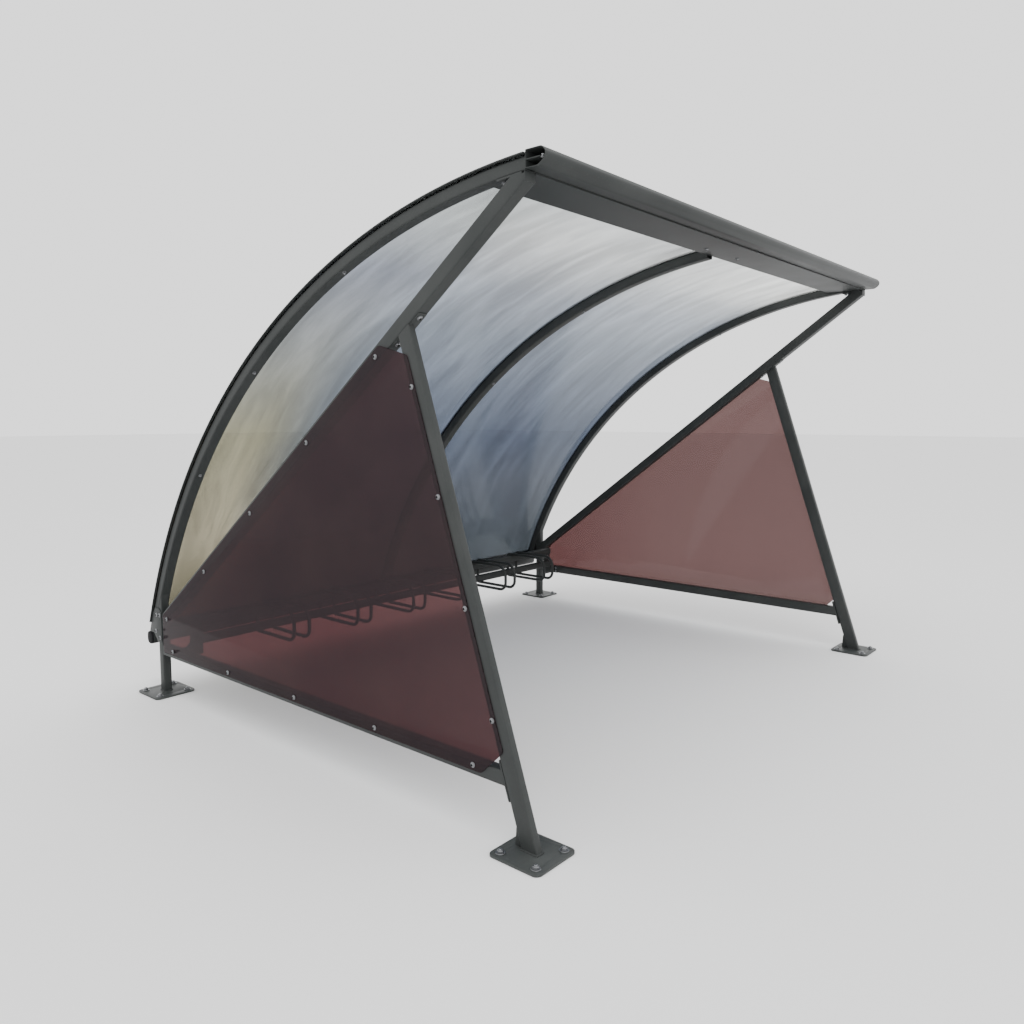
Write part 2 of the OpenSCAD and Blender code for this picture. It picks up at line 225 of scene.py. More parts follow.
def zinc_plate(name, tone=0.26, rough=0.30):
    """Bright zinc plating: cool grey metal with faint crystal patches."""
    mat, nodes, links = blank_finish(name)
    metal = nodes["Principled BSDF"]
    metal.inputs["Metallic"].default_value = 1.0
    place = add(nodes, "TexCoord")
    patch = add(nodes, "TexVoronoi", Scale=260.0)
    tint = tones(nodes, (0, (tone * 0.86, tone * 0.88, tone * 0.92)),
                 (1, (tone * 1.10, tone * 1.12, tone * 1.15)))
    sheen = add(nodes, "MapRange", To_Min=rough, To_Max=rough + 0.14)
    links.new(place.outputs["Object"], patch.inputs["Vector"])
    links.new(patch.outputs["Color"], tint.inputs["Fac"])
    links.new(tint.outputs["Color"], metal.inputs["Base Color"])
    links.new(patch.outputs["Distance"], sheen.inputs["Value"])
    links.new(sheen.outputs["Result"], metal.inputs["Roughness"])
    return mat


def turned(bm, profile, at, axis, steps=24, phase=0.0, dark_from=99):
    """A turned shape: (radius, height) pairs spun round axis, which starts at the point at.
    Bands from dark_from on take the mesh's second finish."""
    spin = Vector((0, 0, 1)).rotation_difference(Vector(axis).normalized()).to_matrix()
    rings = []
    for r, h in profile:
        if r < 1e-6:
            rings.append([bm.verts.new(Vector(at) + spin @ Vector((0, 0, h)))])
            continue
        ring = []
        for k in range(steps):
            a = math.tau * k / steps + phase
            ring.append(bm.verts.new(Vector(at) + spin @ Vector((r * math.cos(a), r * math.sin(a), h))))
        rings.append(ring)
    for band, (one, two) in enumerate(zip(rings, rings[1:])):
        for k in range(steps):
            j = (k + 1) % steps
            if len(one) == 1:
                face = bm.faces.new((one[0], two[j], two[k]))
            elif len(two) == 1:
                face = bm.faces.new((one[k], one[j], two[0]))
            else:
                face = bm.faces.new((one[k], one[j], two[j], two[k]))
            face.material_index = int(band >= dark_from)


def washer(bm, at, axis, r, hole, thick):
    """A flat ring with eased rims."""
    turned(bm, [(hole, 0), (r - thick * 0.2, 0), (r, thick * 0.25), (r, thick * 0.75),
                (r - thick * 0.25, thick), (hole, thick), (hole, 0)], at, axis, 28)


def hex_nut(bm, at, axis, across, tall, phase):
    """Six flats with the corners turned off at both ends."""
    r = across / 2 / math.cos(math.pi / 6)
    turned(bm, [(0, 0), (r * 0.90, 0), (r, tall * 0.13), (r, tall * 0.87), (r * 0.90, tall), (0, tall)],
           at, axis, 6, phase)


def nut_on_washer(bm, at, axis, washer_r, bolt_r, washer_thick, across, tall):
    """A nut on its washer, its flats turned anyhow."""
    washer(bm, at, axis, washer_r, bolt_r, washer_thick)
    hex_nut(bm, at + axis * washer_thick, axis, across, tall, luck.uniform(0, 1))


def stud(bm, at, axis, r, long):
    """A threaded end: close ridges and a small chamfer."""
    ridges = [(0, 0), (r, 0)]
    pitch = 0.00175
    for k in range(int((long - 0.0015) / pitch)):
        ridges += [(r, pitch * (k + 0.25)), (r * 0.88, pitch * (k + 0.75))]
    ridges += [(r * 0.92, long - 0.001), (r * 0.75, long), (0, long)]
    turned(bm, ridges, at, axis, 18)


zinc = zinc_plate("bright_zinc")
# painted shade: a near-black finish for the hollow of each dome screw's socket
socket = powder_coat("socket_painted_shade", dark=0.2, rough=0.6)
luck = random.Random(7)
up = Vector((0, 0, 1))
for node, at in plate_at.items():
    bm = bmesh.new()
    for dx in (-1, 1):
        for dy in (-1, 1):
            spot = at + Vector((dx * HOLE_PITCH / 2, dy * HOLE_PITCH / 2, 0))
            nut_on_washer(bm, spot, up, WASHER_R, STUD_R, WASHER_THICK, NUT_ACROSS, NUT_TALL)
            stud(bm, spot + up * (WASHER_THICK + NUT_TALL - 0.0005), up, STUD_R, 0.004)
    piece(node.replace("_plate", "_anchors"), bm, zinc, "frame_steel", sharp=30)

# ---- Rear posts ----------------------------------------------------------------
# Short upright tubes, 40 mm square with 3 mm walls. Each is welded to its base plate
# and cut at the top to the curve of the rib that it carries.

post_low, post_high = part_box("left_rear_post")
POST = post_high.x - post_low.x
OUTER = abs(post_low.x)
POST_Y = (post_low.y + post_high.y) / 2
TUBE_WALL = 0.003
TUBE_SOFT = 0.005
PLAY = 0.0003  # left between pieces that only touch


def walls(bm, rows):
    """Faces between rows of points, each row a closed ring."""
    for one, two in zip(rows, rows[1:]):
        for k in range(len(one)):
            j = (k + 1) % len(one)
            bm.faces.new((one[k], one[j], two[j], two[k]))


def steel_tube(path, wide, deep, wall=TUBE_WALL, soft=TUBE_SOFT, side=Vector((1, 0, 0)),
               start=None, end=None, bm=None):
    """A tube along path, wide across side and deep the other way. start and end are planes,
    (point, normal), that the ends are cut to."""
    bm = bm or bmesh.new()
    outer = rounded(wide, deep, soft, 4)
    inner = rounded(wide - 2 * wall, deep - 2 * wall, max(soft - wall, 0.001), 4)
    outside, inside = [], []
    for i, p in enumerate(path):
        ahead = (path[min(i + 1, len(path) - 1)] - path[max(i - 1, 0)]).normalized()
        rise = ahead.cross(side).normalized()
        plane = start if i == 0 else end if i == len(path) - 1 else None
        for rows, ring in ((outside, outer), (inside, inner)):
            row = []
            for u, v in ring:
                q = p + side * u + rise * v
                if plane:
                    point, normal = Vector(plane[0]), Vector(plane[1])
                    q += ahead * ((point - q).dot(normal) / ahead.dot(normal))
                row.append(bm.verts.new(q))
            rows.append(row)
    walls(bm, outside)
    walls(bm, inside)
    for end_row in (0, -1):
        walls(bm, (outside[end_row], inside[end_row]))
    return bm


# the ribs' circle, seen from the side, from the ribs' own box
rib_low, rib_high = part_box("left_rib")
RIB_OUT = 2.647
RIB_DEEP = 0.040
RIB_IN = RIB_OUT - RIB_DEEP
rib_wide = rib_high.x - rib_low.x
arc_z = rib_high.z - RIB_OUT
arc_y = rib_high.y - math.sqrt(RIB_OUT ** 2 - (rib_low.z - arc_z) ** 2)


def on_arc(r, angle, x=0.0):
    """A point on the ribs' circle; angle is in degrees up from the rear."""
    a = math.radians(angle)
    return Vector((x, arc_y + r * math.cos(a), arc_z + r * math.sin(a)))


def arc_height(r, y):
    """The height of a circle round the ribs' centre, over a place y."""
    return arc_z + math.sqrt(r * r - (y - arc_y) ** 2)


def weld_bead(bm, points, r, closed=True):
    """A rippled bead of weld along a line of points."""
    dense = []
    count = len(points)
    for i in range(count if closed else count - 1):
        a, b = Vector(points[i]), Vector(points[(i + 1) % count])
        cells = max(2, int((b - a).length / 0.0025))
        dense += [a.lerp(b, k / cells) for k in range(cells)]
    if not closed:
        dense.append(Vector(points[-1]))
    rings = []
    for i, p in enumerate(dense):
        on = (dense[(i + 1) % len(dense)] - dense[i - 1]).normalized()
        if not closed and i in (0, len(dense) - 1):
            on = (dense[min(i + 1, len(dense) - 1)] - dense[max(i - 1, 0)]).normalized()
        across = on.orthogonal().normalized()
        other = on.cross(across)
        swell = r * (1 + 0.16 * math.sin(i * 1.9) + luck.uniform(-0.06, 0.06))
        rings.append([bm.verts.new(p + across * swell * math.cos(math.tau * k / 8)
                                   + other * swell * math.sin(math.tau * k / 8)) for k in range(8)])
    pairs = list(zip(rings, rings[1:])) + ([(rings[-1], rings[0])] if closed else [])
    for one, two in pairs:
        shift = min(range(8), key=lambda t: sum((one[k].co - two[(k + t) % 8].co).length
                                                for k in (0, 3)))
        for k in range(8):
            j = (k + 1) % 8
            bm.faces.new((one[k], one[j], two[(j + shift) % 8], two[(k + shift) % 8]))
    if not closed:
        bm.faces.new(rings[0])
        bm.faces.new(rings[-1])


def foot_weld(x0, x1, y0, y1, z, name):
    """The bead round a tube that stands on its base plate."""
    bm = bmesh.new()
    weld_bead(bm, [(x0, y0, z), (x1, y0, z), (x1, y1, z), (x0, y1, z)], 0.0032)
    piece(name, bm, steel, "frame_steel", sharp=60)


for side, s in SIDES:
    x = s * (OUTER - POST / 2)
    top_z = arc_height(RIB_IN - PLAY, POST_Y)
    lean = Vector((0, POST_Y - arc_y, top_z - arc_z)).normalized()
    bm = steel_tube([Vector((x, POST_Y, post_low.z)), Vector((x, POST_Y, post_low.z + 0.05)),
                     Vector((x, POST_Y, top_z))], POST, POST,
                    start=((0, 0, post_low.z), up), end=((x, POST_Y, top_z), lean))
    piece(f"{side}_rear_post_tube", bm, steel, "frame_steel", f"{side}_rear_post")
    foot_weld(x - POST / 2, x + POST / 2, POST_Y - POST / 2, POST_Y + POST / 2, post_low.z + 0.001,
              f"{side}_rear_post_weld")

# ---- Roof ribs -----------------------------------------------------------------
# Three rolled tubes, 50 x 40 mm, bent to the roof's curve. The two end ribs run from
# the rear profile to the front nose, and the middle one stops against the header.

STATIONS = (22.6, 39.0, 53.0, 68.0, 85.0)  # degrees up from the rear, where screws run through
RIB_SOFT = 0.006
middle_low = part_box("middle_rib")[0]


def rib_path(x, y_front):
    """Points along a rib's middle line, from its lower end to y_front."""
    first = math.degrees(math.asin((rib_low.z - arc_z) / (RIB_OUT - RIB_DEEP / 2)))
    last = math.degrees(math.acos((y_front - arc_y) / (RIB_OUT - RIB_DEEP / 2)))
    count = 72
    return [on_arc(RIB_OUT - RIB_DEEP / 2, first + (last - first) * k / count, x)
            for k in range(count + 1)]


def dome_bolt(bm, at, axis, r, seal=0.0):
    """A low dome-headed screw on its washer, with a six-sided socket."""
    at, axis = Vector(at), Vector(axis).normalized()
    washer(bm, at, axis, r, r * 0.45, 0.0016 + seal)
    base = at + axis * (0.0016 + seal)
    head = r * 0.76
    dome = [(head, 0), (head, 0.0012)]
    dome += [(head * math.cos(math.radians(a)), 0.0012 + 0.0034 * math.sin(math.radians(a)))
             for a in (18, 36, 50)]
    # the dome's top round the socket and the socket's wall and floor take the second finish, a painted
    # shade
    turned(bm, dome + [(head * 0.60, 0.0042), (head * 0.56, 0.0022), (0, 0.0020)], base, axis, 24,
           dark_from=len(dome) - 1)


def screws(name, r, spots, seal=0.0):
    """A group of dome screws, each at a point and along an axis."""
    bm = bmesh.new()
    for at, axis in spots:
        dome_bolt(bm, at, axis, r, seal)
    # the second finish is the painted shade in the sockets
    piece(name, bm, (zinc, socket), "frame_steel", sharp=30)


def on_side(x_in, s):
    """x at a distance x_in inwards from an end frame's outer face."""
    return s * (OUTER - x_in)


RIBS = (("left", on_side(rib_wide / 2, -1), rib_low.y), ("middle", 0.0, middle_low.y),
        ("right", on_side(rib_wide / 2, 1), rib_low.y))
for name, x, front_y in RIBS:
    bm = steel_tube(rib_path(x, front_y), rib_wide, RIB_DEEP, soft=RIB_SOFT,
                    start=((0, 0, rib_low.z), up), end=((0, front_y, 0), (0, 1, 0)))
    piece(f"{name}_roof_rib", bm, steel, "frame_steel", f"{name}_rib", sharp=50)

# nuts on the screws' ends, clear of the header
for name, x, front_y in RIBS:
    bm = bmesh.new()
    for angle in STATIONS:
        spot = on_arc(RIB_IN, angle, x)
        if name == "middle" and spot.y < front_y + 0.02:
            continue
        inward = (Vector((x, arc_y, arc_z)) - spot).normalized()
        nut_on_washer(bm, spot, inward, 0.008, 0.004, 0.0015, 0.010, 0.0045)
        stud(bm, spot + inward * 0.0060, inward, 0.003, 0.003)
    piece(f"{name}_rib_nuts", bm, zinc, "frame_steel", sharp=30)

# ---- Slanting struts -----------------------------------------------------------
# A 50 mm square tube rises from each rear post to the front of the rib. A thin curved
# flange welded to its top end is bolted up under the rib, and a plate closes its end.

STRUT = 0.050
STRUT_SLOPE = math.radians(36.7)
STRUT_Z = 0.378
FLANGE = 0.006
FLANGE_LONG = 0.096
FLANGE_NUTS = (0.066, 0.084)
FLANGE_AT = 86.3  # degrees up from the rear
CAP = 0.003
CAP_BACK = 0.009
along = Vector((0, -math.cos(STRUT_SLOPE), math.sin(STRUT_SLOPE)))
below = Vector((0, -math.sin(STRUT_SLOPE), -math.cos(STRUT_SLOPE)))
under_rib = RIB_IN - PLAY
strut_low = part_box("left_strut")[0]


def strut_point(y_in, drop, x=0.0):
    """A point at a distance y_in forward of the rear posts' line, drop below the strut's
    upper edge, measured square to it."""
    top = Vector((x, POST_Y - y_in, STRUT_Z + y_in * math.tan(STRUT_SLOPE)))
    return top + below * drop


def trimmed(bm, point, normal):
    """Cuts away what lies beyond a plane and closes the tube's wall again."""
    geom = bm.verts[:] + bm.edges[:] + bm.faces[:]
    cut = bmesh.ops.bisect_plane(bm, geom=geom, plane_co=point, plane_no=normal, clear_outer=True)
    edges = [e for e in cut["geom_cut"] if isinstance(e, bmesh.types.BMEdge)]
    if edges:
        bmesh.ops.triangle_fill(bm, edges=edges, use_beauty=True)
    return bm


for side, s in SIDES:
    x = on_side(STRUT / 2, s)
    front = strut_low.y - CAP_BACK
    first, last = strut_point(POST / 2, STRUT / 2, x), strut_point(POST_Y - front, STRUT / 2, x)
    last += along * 0.05
    bm = steel_tube([first, first.lerp(last, 0.5), last], STRUT, STRUT,
                    start=((0, POST_Y - POST / 2, 0), (0, 1, 0)))
    trimmed(bm, Vector((0, front, 0)), Vector((0, -1, 0)))
    crown = on_arc(under_rib - FLANGE, FLANGE_AT, x)
    trimmed(bm, crown, crown - Vector((x, arc_y, arc_z)))
    # the bent flange over the tube's end
    rows = []
    for k in range(9):
        y = strut_low.y + FLANGE_LONG * k / 8
        rows.append([bm.verts.new((x + dx * STRUT / 2, y, arc_height(under_rib - dz, y)))
                     for dx, dz in ((-1, 0), (1, 0), (1, FLANGE), (-1, FLANGE))])
    walls(bm, rows)
    bm.faces.new(rows[0])
    bm.faces.new(rows[-1])
    foot_z = strut_point(POST_Y - front, 0).z - STRUT / math.cos(STRUT_SLOPE)
    low_z, high_z = foot_z - 0.001, arc_height(RIB_IN, front) - 0.001
    cap = [(-STRUT / 2, low_z), (STRUT / 2, low_z), (STRUT / 2, high_z), (-STRUT / 2, high_z)]
    turn = Matrix(((1, 0, 0, x), (0, 0, 1, front - CAP / 2), (0, 1, 0, 0), (0, 0, 0, 1)))
    cut_plate("cap", [softened(cap, 0.002)], CAP, 0.0004, turn, bm)
    piece(f"{side}_slanting_strut", bm, steel, "frame_steel", f"{side}_strut")
    bm = bmesh.new()
    for along_flange in FLANGE_NUTS:
        y = strut_low.y + along_flange
        spot = Vector((x, y, arc_height(under_rib - FLANGE, y)))
        down = (Vector((x, arc_y, arc_z)) - spot).normalized()
        nut_on_washer(bm, spot, down, 0.010, 0.004, 0.0016, 0.013, 0.0065)
    piece(f"{side}_flange_nuts", bm, zinc, "frame_steel", sharp=30)

# ---- Front legs ----------------------------------------------------------------
# Slim oblong tubes, 60 x 30 mm, that lean back from their base plates to the struts'
# underside. A thin flange welded to each head takes two bolts up into the strut, and a
# small tab stiffens its foot.

LEG_DEEP = 0.060
LEG_LEAN = math.radians(18.6)
HEAD_PLATE = 0.003
HEAD_BOLT = 0.067
TAB = 0.006
leg_low, leg_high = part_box("left_front_leg")
LEG_WIDE = leg_high.x - leg_low.x
leg_flat = LEG_DEEP / math.cos(LEG_LEAN)
leg_up = Vector((0, math.sin(LEG_LEAN), math.cos(LEG_LEAN)))
leg_back = Vector((0, math.cos(LEG_LEAN), -math.sin(LEG_LEAN)))


def leg_point(z, back, x=0.0):
    """A point on the leg at height z, back from its front edge measured square to it."""
    edge_y = leg_low.y + (z - leg_low.z) * math.tan(LEG_LEAN)
    return Vector((x, edge_y + back / math.cos(LEG_LEAN), z))


def side_on(x, s=1):
    """Stands an outline drawn as (y, z) upright at x."""
    return Matrix(((0, 0, s, x), (1, 0, 0, 0), (0, 1, 0, 0), (0, 0, 0, 1)))


for side, s in SIDES:
    x = on_side(LEG_WIDE / 2, s)
    foot, head = leg_point(leg_low.z, LEG_DEEP / 2, x), leg_point(1.70, LEG_DEEP / 2, x)
    under = strut_point(1.8, STRUT)
    bm = steel_tube([foot, foot.lerp(head, 0.4), head], LEG_WIDE, LEG_DEEP,
                    start=((0, 0, leg_low.z), up), end=(under, below))
    piece(f"{side}_front_leg_tube", bm, steel, "frame_steel", f"{side}_front_leg")
    foot_weld(x - LEG_WIDE / 2, x + LEG_WIDE / 2, foot.y - leg_flat / 2, foot.y + leg_flat / 2,
              leg_low.z + 0.001, f"{side}_front_leg_weld")
    heel, z0 = leg_point(leg_low.z, LEG_DEEP).y, leg_low.z
    tab = softened([(heel - 0.002, z0), (heel + 0.034, z0), (heel + 0.034, z0 + 0.008),
                    (heel + 0.030, z0 + 0.072), (heel + 0.018, z0 + 0.072)], 0.004)
    piece(f"{side}_foot_tab", cut_plate("tab", [tab], TAB, 0.0006, side_on(x)), steel, "frame_steel")
    # a flange across the leg's head lies under the strut, with a bolt each side of the leg
    centre = foot + leg_up * ((under - foot).dot(below) / leg_up.dot(below))
    centre.x = on_side(STRUT / 2, s)
    turn = Matrix((Vector((1, 0, 0)), along, below)).transposed().to_4x4()
    turn.translation = centre + below * HEAD_PLATE / 2
    flange = softened([(-0.020, -0.088), (0.020, -0.088), (0.020, 0.088), (-0.020, 0.088)], 0.006)
    piece(f"{side}_leg_head_flange", cut_plate("flange", [flange], HEAD_PLATE, 0.0006, turn),
          steel, "frame_steel")
    screws(f"{side}_leg_head_bolts", 0.0105,
           [(centre + below * HEAD_PLATE + along * HEAD_BOLT * way, below) for way in (-1, 1)])

# ---- Side rails ----------------------------------------------------------------
# Level tubes, 50 x 40 mm, tie each rear post to its front leg. The front end is welded
# to a plate that is bolted to the leg's rear face.

rail_low, rail_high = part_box("left_side_rail")
RAIL_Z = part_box("left_rack_bracket")[0].z
RAIL_TALL = 0.050
RAIL_WIDE = rail_high.x - rail_low.x
END_PLATE = 0.006
BEHIND = LEG_DEEP + 0.0002  # the end plate's front face, from the leg's front edge

for side, s in SIDES:
    x = on_side(RAIL_WIDE / 2, s)
    mid_z = RAIL_Z + RAIL_TALL / 2
    plate_face = leg_point(mid_z, BEHIND + END_PLATE, x)
    rear = Vector((x, POST_Y - POST / 2, mid_z))
    bm = steel_tube([rear, rear.lerp(plate_face, 0.5), plate_face], RAIL_WIDE, RAIL_TALL,
                    start=((0, rear.y, 0), (0, 1, 0)), end=(plate_face, leg_back))
    z0, z1 = RAIL_Z - 0.046, RAIL_Z + RAIL_TALL + 0.030
    long = (z1 - z0) / math.cos(LEG_LEAN)
    centre = leg_point((z0 + z1) / 2, BEHIND + END_PLATE / 2, x)
    turn = Matrix(((1, 0, 0, centre.x), (0, leg_up.y, leg_back.y, centre.y),
                   (0, leg_up.z, leg_back.z, centre.z), (0, 0, 0, 1)))
    w, h = RAIL_WIDE / 2, long / 2
    plate = softened([(-w, -h), (w, -h), (w, h), (-w, h)], 0.006)
    cut_plate("end_plate", [plate], END_PLATE, 0.0006, turn, bm)
    piece(f"{side}_side_rail_tube", bm, steel, "frame_steel", f"{side}_side_rail")
    bm = bmesh.new()
    for z in (z0 + 0.020, z1 - 0.014):
        spot = leg_point(z, BEHIND + END_PLATE, x)
        nut_on_washer(bm, spot, leg_back, 0.008, 0.004, 0.0015, 0.011, 0.005)
    piece(f"{side}_rail_end_nuts", bm, zinc, "frame_steel", sharp=30)

# ---- Rear gussets --------------------------------------------------------------
# A 4 mm plate on the outer face ties the post, the strut and the rib's lower end
# together at each rear corner, with four screws in it.

GUSSET = 0.004
GUSSET_BOLTS = ((0.005, 0.386), (-0.024, 0.384), (0.004, 0.275), (-0.034, 0.303))
sill_low, sill_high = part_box("rear_sill")
step_z = sill_high.z - 0.046  # where the plate meets the rib's lower end
gusset_low, gusset_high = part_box("left_rear_gusset")
for side, s in SIDES:
    shape = [(POST_Y - POST / 2, gusset_low.z + 0.004), (POST_Y + POST / 2, gusset_low.z),
             (POST_Y + 0.057, step_z), (gusset_high.y - 0.0005, step_z)]
    for k in range(5):
        a = math.degrees(math.asin((step_z + 0.018 * k + 0.02 - arc_z) / (RIB_OUT - 0.002)))
        p = on_arc(RIB_OUT - 0.002, a)
        shape.append((p.y, p.z))
    shape += [(POST_Y + 0.040, gusset_high.z), (POST_Y, gusset_high.z),
              (POST_Y - POST / 2, gusset_high.z - 0.018)]
    bm = cut_plate("gusset", [softened(shape, 0.006)], GUSSET, 0.0005,
                   side_on(on_side(-GUSSET / 2, s), s))
    piece(f"{side}_corner_gusset", bm, steel, "frame_steel", f"{side}_rear_gusset")
    screws(f"{side}_gusset_bolts", 0.010,
           [((on_side(-GUSSET, s), POST_Y - y_in, z), (s, 0, 0)) for y_in, z in GUSSET_BOLTS])

# ---- Rear profile --------------------------------------------------------------
# One hollow extrusion along the low rear edge carries the ribs' lower ends. Its lip
# holds the sheets' lower edge from outside, and a black plastic cap closes each end.


def black_plastic(name):
    """Moulded black plastic with a fine spark-eroded grain."""
    mat, nodes, links = blank_finish(name)
    skin = nodes["Principled BSDF"]
    place = add(nodes, "TexCoord")
    grain = add(nodes, "TexNoise", Scale=900.0)
    tone = tones(nodes, (0, (0.004, 0.004, 0.005)), (1, (0.010, 0.010, 0.011)))
    bump = add(nodes, "Bump", Strength=0.25, Distance=0.0002)
    skin.inputs["Roughness"].default_value = 0.5
    skin.inputs["Specular IOR Level"].default_value = 0.06
    links.new(place.outputs["Object"], grain.inputs["Vector"])
    links.new(grain.outputs["Fac"], tone.inputs["Fac"])
    links.new(tone.outputs["Color"], skin.inputs["Base Color"])
    links.new(grain.outputs["Fac"], bump.inputs["Height"])
    links.new(bump.outputs["Normal"], skin.inputs["Normal"])
    return mat


def run_along(name, outlines, x0, x1, bm=None):
    """A profile, drawn as (y, z) outlines, run along the shelter from x0 to x1."""
    return cut_plate(name, outlines, abs(x1 - x0), 0.0004, side_on((x0 + x1) / 2), bm)


sill_top = rib_low.z
SILL_DEEP = 0.056
SILL_WALL = 0.003
LIP_GAP = 0.0046  # clear of the sheets' outer face
LIP_THICK = 0.003


def sill_outline(inset):
    """A nearly oval tube."""
    back, front = sill_high.y - inset, sill_high.y - SILL_DEEP + inset
    low, high = sill_low.z + inset, sill_top - inset
    return softened([(front, low), (back, low), (back, high), (front, high)], 0.026 - inset, 8)


bm = run_along("sill", [sill_outline(0), sill_outline(SILL_WALL)], -OUTER, OUTER)
lip = []
lip_in = RIB_OUT + LIP_GAP
lip_out = lip_in + LIP_THICK
lip_foot = sill_top - 0.012
for r, heights in ((lip_out, range(7)), (lip_in, range(6, -1, -1))):
    for k in heights:
        z = lip_foot + (sill_high.z - lip_foot) * k / 6
        p = on_arc(r, math.degrees(math.asin((z - arc_z) / r)))
        lip.append((p.y, p.z))
run_along("lip", [lip], -OUTER, OUTER, bm)
piece("rear_profile", bm, steel, "frame_steel", "rear_sill")

plastic = black_plastic("black_moulded_plastic")
for side, s in SIDES:
    bm = run_along("cap", [sill_outline(0.0006)], on_side(0, s), on_side(-0.004, s))
    run_along("cap_rim", [sill_outline(0.006)], on_side(-0.003, s), on_side(-0.0055, s), bm)
    piece(f"{side}_rear_profile_cap", bm, plastic, "frame_steel", sharp=40)

# ---- Front header --------------------------------------------------------------
# A flat hollow box between the end ribs stiffens the open front edge. Its top follows
# the roof, and screws through its underside hold the middle rib and the nose.

HEADER_WALL = 0.0025
HEADER_SCREW_X = 0.144
HEADER_SCREW_BACK = 0.126
head_low, head_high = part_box("front_header")


def header_outline(inset):
    """A flat box whose top follows the roof."""
    y0, y1, z0 = head_low.y + inset, head_high.y - inset, head_low.z + inset
    over = [y0 + (y1 - y0) * k / 10 for k in range(11)]
    return [(y1, z0), (y0, z0)] + [(y, arc_height(RIB_OUT - inset, y)) for y in over]


bm = run_along("header", [header_outline(0), header_outline(HEADER_WALL)], head_low.x, head_high.x)
piece("header_box", bm, steel, "frame_steel", "front_header")
screws("header_screws", 0.0085,
       [((x, head_low.y + HEADER_SCREW_BACK, head_low.z), (0, 0, -1))
        for x in (-HEADER_SCREW_X, HEADER_SCREW_X)])

# ---- Front nose ----------------------------------------------------------------
# A rounded hollow extrusion caps the front edge. A web stiffens it inside and carries
# a screw port, which shows at its open ends.

NOSE_WALL = 0.0025
WEB = 0.003
PORT_BACK = 0.060
PORT_R = 0.0065
PORT_LONG = 0.056
nose_low, nose_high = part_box("front_nose")
port_y, web_z = nose_high.y - PORT_BACK, nose_low.z + 0.025


def nose_outline(inset):
    """Flat top and bottom, a blunt front with two facets, and a square back to the header."""
    back, tip = nose_high.y - inset, nose_low.y + inset
    low, high = nose_low.z + inset, nose_high.z - inset
    return softened([
        (back, low + 0.002), (back - 0.002, low), (tip + 0.026, low), (tip + 0.0045, low + 0.016),
        (tip, low + 0.034), (tip + 0.015, high), (back - 0.002, high), (back, high - 0.002)], 0.008, 6)


def clipped(outline, z_cut, keep_above):
    """The part of a closed outline above or below a height."""
    out = []
    for i, a in enumerate(outline):
        b = outline[(i + 1) % len(outline)]
        inside_a, inside_b = ((p[1] > z_cut) == keep_above for p in (a, b))
        if inside_a:
            out.append(a)
        if inside_a != inside_b:
            t = (z_cut - a[1]) / (b[1] - a[1])
            out.append((a[0] + (b[0] - a[0]) * t, z_cut))
    return out


inner = nose_outline(NOSE_WALL)
bm = run_along("nose", [nose_outline(0), clipped(inner, web_z - WEB / 2, False),
                        clipped(inner, web_z + WEB / 2, True)], nose_low.x, nose_high.x)
for side, s in SIDES:
    run_along("port", [ring_of(PORT_R, 20, (port_y, web_z))],
              on_side(0.004 + PORT_LONG, s), on_side(0.004, s), bm)
piece("front_nose_profile", bm, steel, "frame_steel", "front_nose", sharp=28)
for side, s in SIDES:
    screws(f"{side}_nose_screw", 0.0058, [((on_side(0.004, s), port_y, web_z), (s, 0, 0))])

# ---- Roof sheets ---------------------------------------------------------------
# Two bays of 4 mm clear sheet with a light grey-blue smoke, bent cold over the ribs.
# Dust and rain marks dull them a little, and they glow where the sky is behind. Their tint
# is also painted darker low down, lighter at the top and near-white at the top right: painted light.


def layered(nodes, links, veil, veil_share, shine, least, most):
    """A clear sheet with a thin veil in it and a reflection over both, little when looked
    through and strong when looked along. Gives the clear part and the slant of the view."""
    clear = add(nodes, "BsdfTransparent")
    aside = add(nodes, "LayerWeight", Blend=0.5)
    steep = nodes.new("ShaderNodeMath")
    steep.operation = "POWER"
    steep.inputs[1].default_value = 5.0
    share = add(nodes, "MapRange", To_Min=least, To_Max=most)
    body = add(nodes, "MixShader", Fac=veil_share)
    whole = add(nodes, "MixShader")
    links.new(aside.outputs["Facing"], steep.inputs[0])
    links.new(steep.outputs[0], share.inputs["Value"])
    links.new(share.outputs["Result"], whole.inputs["Fac"])
    links.new(clear.outputs[0], body.inputs[1])
    links.new(veil.outputs[0], body.inputs[2])
    links.new(body.outputs[0], whole.inputs[1])
    links.new(shine.outputs[0], whole.inputs[2])
    links.new(whole.outputs[0], nodes["Material Output"].inputs["Surface"])
    return clear, aside


